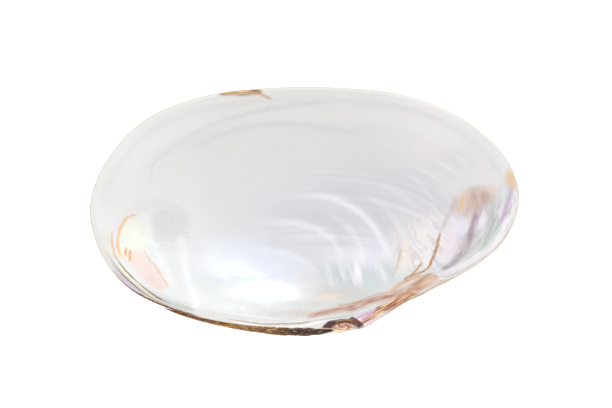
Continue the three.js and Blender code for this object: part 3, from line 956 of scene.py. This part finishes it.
def folded(finish, at, colour):
    """Painted shade and highlight on the folds round the deep of the hollow, petals in front of them and
    upright streaks at their foot.
    """
    nested = finish.joined(at.size * 44 + 0.5 * at.drift, at.inset * 0.03, 0).noise(1, 3, 0.6)
    # painted shade and painted highlight of the nested folds
    colour = streaked(colour, nested, zone(at, FOLDS_ZONE), *PAINTED_FOLD_STREAKS)
    petals = finish.joined(0.22 * at.x + 0.09 * at.y + at.drift, 0.05 * at.y, 4).noise(1, 3, 0.6)
    colour = colour.mixed(zone(at, PETALS_ZONE) * 0.7, petals.ramp(PETAL_TINTS))
    upright = finish.joined(0.34 * at.x + 0.08 * at.y, 0.05 * at.y, 0).noise(1, 3, 0.6)
    return streaked(colour, upright, zone(at, FOOT_ZONE), *FOOT_STREAKS)


def rippled(finish, colour, names, waver):
    """Each ripple is a painted highlight line with a broad painted shade on its outer side."""
    for name in names:
        offset, strength, share = finish.attribute(name)
        there = share.fade(0, 0.45) * share.fade(0.6, 1, 1, 0) * strength
        glow = abs(offset + 0.35 * waver).fade(0, 0.95, 1, 0) * there
        shade = offset.between(0.3, 1.5, 1.5, 6) * there
        # painted shade beside each ripple and painted highlight along it
        colour = colour.mixed(shade * 0.75, stain(*PAINTED_FOLD_SHADE))
        colour = colour.mixed(glow * 0.75, stain(*PAINTED_RIPPLE_HIGHLIGHT))
    return colour


def scarred(at, colour, speckle):
    """The back scar, with a dark speckle and painted glints: white specks where light catches its grains."""
    painted_sparkle = at.flat.noise(3, 2, 0.6)
    scar = at.ragged.distance(SCAR_CENTRE).fade(5, 9, 1, 0)
    colour = colour.mixed(speckle.fade(0.48, 0.66) * scar * 0.5, stain(196, 197, 198))
    # painted glints: white specks over the scar's grains
    return colour.mixed(painted_sparkle.fade(0.64, 0.72) * scar, stain(255, 255, 255))


def banded(finish, colour):
    for name, (points, _, stripes, first, second, strength, firmness, _) in BANDS.items():
        offset, there, share = finish.attribute(name)
        reach = lengths(np.array(points))[-1] / BRUSH_LENGTH
        seed = len(name)
        brush = finish.joined(offset * (0.7 * stripes), share * reach, seed).noise(1, 3, 0.6)
        core = (abs(offset) + 0.9 * (brush - 0.5)).fade(firmness, 1.6 - firmness, strength, 0) * there
        tint = finish.mixed(brush.fade(0.38, 0.62), stain(*first), stain(*second))
        colour = colour.mixed(core, tint)
    return colour


def marked(finish, at, colour, names, waver, speckle):
    """Thin marks, broken here and there."""
    broken = at.flat.noise(0.45, 3, 0.6).fade(0.25, 0.6, 0.6, 1)
    stops = [(k / len(TINTS), stain(*tint)) for k, tint in enumerate(TINTS)]
    for name in names:
        offset, there, tone = finish.attribute(name)
        core = (abs(offset + waver) + 0.8 * (speckle - 0.5)).fade(0.15, 1.35, 1, 0)
        colour = colour.mixed(core * there * broken, tone.ramp(stops, "CONSTANT"))
    return colour


def toothed(finish, at, colour, speckle):
    """The long tooth: brown edge, pearly fold, dark groove and cream blade, narrowing to the front."""
    tooth = at.x.between(-79.5, -73, -62, -57) * at.y.fade(27, 31, 1, 0)
    across = at.inset * (1 + 1.1 * at.x.fade(-72, -58)) + 0.5 * (speckle - 0.5)
    pearly = (at.x + at.y).fade(-60, -54).ramp(FOLD_TINTS)
    blade = finish.mixed(speckle.fade(0.42, 0.6), stain(248, 240, 222), stain(220, 232, 212))
    groove = stain(176, 150, 128)
    foot = stain(150, 104, 62)
    tint = stain(124, 82, 48)
    for start, end, layer in (
        (0.35, 0.65, pearly), (1.65, 1.9, groove), (2.05, 2.3, blade), (3.35, 3.55, foot),
    ):
        tint = finish.mixed(across.fade(start, end), tint, layer)
    return colour.mixed(tooth * across.fade(3.8, 4.2, 1, 0), tint)


def edged(finish, at, colour, speckle):
    """Worn shell under the arch at the beak, the tan edge of the rim, and the brown joint at the ligament."""
    beak = at.flat.scaled((1, 2, 0)).distance(ARCH_CENTRE)
    worn = at.flat.noise(0.8, 3, 0.65).ramp(WORN_TINTS)
    colour = colour.mixed(beak.fade(3.6, 4.8, 1, 0), worn)
    edge = 1 - (at.inset + 0.5 * (speckle - 0.5)).fade(0.12, 0.5)
    tan = finish.mixed(at.flat.noise(0.12, 2), stain(196, 170, 128), stain(238, 222, 186))
    seam = at.x.between(-74, -68, -52, -46) * at.y.fade(22, 27, 1, 0)
    joint = seam * (at.inset + 0.8 * (speckle - 0.5)).fade(0.5, 0.9, 1, 0)
    colour = colour.mixed(edge * 0.85, tan)
    brown = finish.mixed(speckle.fade(0.4, 0.6), stain(96, 56, 28), stain(176, 128, 74))
    return colour.mixed(joint, brown)


def nacre(layers):
    """Mother-of-pearl, with the stains, scars and tints of the inner face."""
    finish = Finish("nacre")
    at = inner_places(finish)
    colour = pearl(finish, at)
    colour = swept(finish, at, colour)
    colour = folded(finish, at, colour)
    waver = 2.4 * (at.flat.noise(0.35, 3, 0.6) - 0.5)
    colour = rippled(finish, colour, [name for name in layers if name.startswith("ripples")], waver)
    speckle = at.flat.noise(1.4, 3, 0.7)
    colour = scarred(at, colour, speckle)
    colour = banded(finish, colour)
    thin = [name for name in layers if name.startswith("marks")]
    colour = marked(finish, at, colour, thin, waver, speckle)
    colour = toothed(finish, at, colour, speckle)
    colour = edged(finish, at, colour, speckle)

    lines = finish.joined(at.size * 90, 0, 0).noise(1, 2, 0.5)
    fine = at.flat.noise(0.3, 2, 0.5)
    normal = (lines * 0.7 + fine * 0.3).relief(0.04, 0.4)
    matt = at.x.fade(-56, -42, 1, 0) * 0.25
    roughness = at.flat.noise(0.3, 3).fade(0.3, 0.7, 0.26, 0.36) + matt
    return finish.surface(
        Base_Color=colour, Roughness=roughness, Normal=normal, IOR=1.5,
        Thin_Film_Thickness=850, Thin_Film_IOR=1.62,
    )


def horny_skin():
    """The outside: olive to brown horny skin in growth bands, worn to chalky shell at the beak."""
    finish = Finish("horny skin")
    place = finish.rim_frame()
    size, _, worn = finish.attribute("growth")
    bands = finish.joined(size * 34, 0, 0).noise(1, 3, 0.65)
    colour = bands.ramp([
        (0.25, paint(62, 44, 24)), (0.42, paint(96, 72, 38)), (0.55, paint(128, 102, 56)),
        (0.72, paint(84, 62, 34)),
    ])
    aged = finish.mixed(size.fade(0.35, 0.9), paint(122, 116, 66), paint(66, 44, 26))
    colour = colour.mixed(0.4, aged)
    blotches = place.noise(0.08, 4, 0.6)
    colour = colour.mixed(blotches.fade(0.45, 0.7) * 0.5, paint(110, 96, 58))
    rays = place.scaled((0.3, 0.04, 0.3)).noise(1, 2, 0.5)
    colour = colour.mixed(rays.fade(0.5, 0.7) * 0.35, paint(58, 46, 28))
    ragged = place.noise(0.35, 4, 0.65)
    patchy = place.noise(0.11, 3, 0.6)
    wear = worn + 0.9 * (ragged - 0.5) + 1.4 * (patchy - 0.5)
    colour = colour.mixed(wear.fade(0.2, 0.5) * 0.7, paint(172, 140, 92))
    chalk = finish.mixed(place.noise(0.3, 4), paint(238, 230, 216), paint(204, 188, 160))
    tip = finish.mixed(ragged.fade(0.5, 0.6), paint(238, 206, 186), paint(122, 76, 40))
    chalk = chalk.mixed(place.distance(BEAK_TIP).fade(5, 9, 1, 0), tip)
    colour = colour.mixed(wear.fade(0.4, 0.62), chalk)
    along, up, _ = place.parts()
    scraped = along.fade(8, 20) * up.fade(34, 46, 1, 0) * size.fade(0.66, 0.86)
    colour = colour.mixed((size + 0.03 * ragged).fade(0.965, 1), paint(204, 178, 132))
    colour = colour.mixed(scraped * bands.fade(0.2, 0.5, 0.7, 1), paint(224, 204, 170))
    lines = finish.joined(size * 160, 0, 0).noise(1, 4, 0.7)
    normal = (lines + 0.4 * place.noise(1.2, 4, 0.7)).relief(0.25, 0.8)
    roughness = blotches.fade(0.3, 0.7, 0.42, 0.66)
    return finish.surface(Base_Color=colour, Roughness=roughness, Normal=normal)


def dried_ligament():
    """Dark brown horn, golden where it is thin, with fibres along it and black cracks."""
    finish = Finish("dried ligament")
    place = finish.rim_frame()
    along = place.parts()[0]
    length = along.fade(LIGAMENT_BACK, LIGAMENT_FRONT)
    colour = length.ramp([
        (0, paint(142, 90, 52)), (0.2, paint(138, 82, 42)), (0.35, paint(198, 140, 74)),
        (0.5, paint(178, 122, 66)), (0.72, paint(132, 84, 42)), (0.85, paint(74, 40, 18)),
        (1, paint(52, 26, 10)),
    ])
    fibres = place.scaled((0.16, 2.4, 2.4)).noise(1, 4, 0.7)
    colour = colour.mixed(fibres.fade(0.4, 0.68), paint(44, 20, 8))
    gold = place.scaled((0.4, 1.6, 1.6)).noise(1, 3, 0.6)
    golden = gold.fade(0.54, 0.66) * along.fade(-22, -8, 0.75, 0.45)
    colour = colour.mixed(golden, paint(212, 164, 96))
    pits = place.scaled((0.4, 1.1, 1.1)).noise(1, 4, 0.65)
    colour = colour.mixed(pits.fade(0.6, 0.7) * along.fade(-30, -12), paint(30, 14, 6))
    normal = (fibres + 0.6 * pits).relief(0.3, 0.9)
    roughness = fibres.fade(0.3, 0.7, 0.38, 0.75)
    return finish.surface(Base_Color=colour, Roughness=roughness, Normal=normal)


def pale_paper():
    finish = Finish("pale paper")
    place = finish.node("ShaderNodeTexCoord", {}, {}, "Object")
    tone = finish.mixed(place.noise(3, 2), paint(250, 250, 250), paint(252, 252, 252))
    glow = {"Emission_Color": (1, 1, 1, 1), "Emission_Strength": FLOOR_GLOW}
    return finish.surface(Base_Color=tone, Roughness=0.9, **glow)


# The studio, and the view: the point looked at in the rim's frame, how far the camera leans back, how far
# away it stands, and its lens
VIEW_CENTRE = Vector((-11.53, 46.03, 0))
VIEW_LEAN = math.radians(25)
VIEW_REACH = 596
VIEW_LENS = 100
VIEW_SENSOR = 36
FLOOR_SIZE = 4
FLOOR_GLOW = 0.6
BACKDROP = 0.86


def stand_camera():
    onward = Vector((0, math.sin(VIEW_LEAN), -math.cos(VIEW_LEAN)))
    up = Vector((0, math.cos(VIEW_LEAN), math.sin(VIEW_LEAN)))
    eye = LAID @ (VIEW_CENTRE - onward * VIEW_REACH) * MM + RIM_PLACE
    turn = Matrix((LAID @ Vector((1, 0, 0)), LAID @ up, LAID @ -onward)).transposed()
    bpy.ops.object.camera_add(location=eye, rotation=turn.to_euler())
    camera = bpy.context.object
    camera.data.lens = VIEW_LENS
    camera.data.sensor_width = VIEW_SENSOR
    camera.data.clip_start = 0.01
    bpy.context.scene.camera = camera


def hang_light(name, towards, away, size, power):
    """A square soft light at a distance in metres from the shell, facing it."""
    place = Vector(towards).normalized() * away
    turn = place.to_track_quat("Z", "Y").to_euler()
    bpy.ops.object.light_add(type="AREA", location=place, rotation=turn)
    light = bpy.context.object
    light.name = name
    light.data.size = size
    light.data.energy = power


def set_studio():
    bpy.ops.mesh.primitive_plane_add(size=FLOOR_SIZE, location=(0, 0, 0))
    floor = bpy.context.object
    floor.name = "floor"
    floor.data.materials.append(pale_paper())
    world = bpy.data.worlds.new("studio")
    bpy.context.scene.world = world
    world.use_nodes = True
    backdrop = world.node_tree.nodes["Background"]
    backdrop.inputs["Color"].default_value = (1, 1, 1, 1)
    backdrop.inputs["Strength"].default_value = BACKDROP
    hang_light("window light", (0.288, 0.86, 0.395), 0.9, 0.35, 2.8)
    hang_light("ceiling light", (-0.5, 0.1, 1), 1.2, 0.9, 2)
    bpy.context.scene.view_settings.view_transform = "Standard"


bpy.ops.object.select_all(action="DESELECT")
valve = make_valve()
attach(valve, "root")
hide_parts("valve")

bpy.ops.object.select_all(action="DESELECT")
ligament = make_ligament()
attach(ligament, "root")
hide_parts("ligament")

stand_camera()
set_studio()
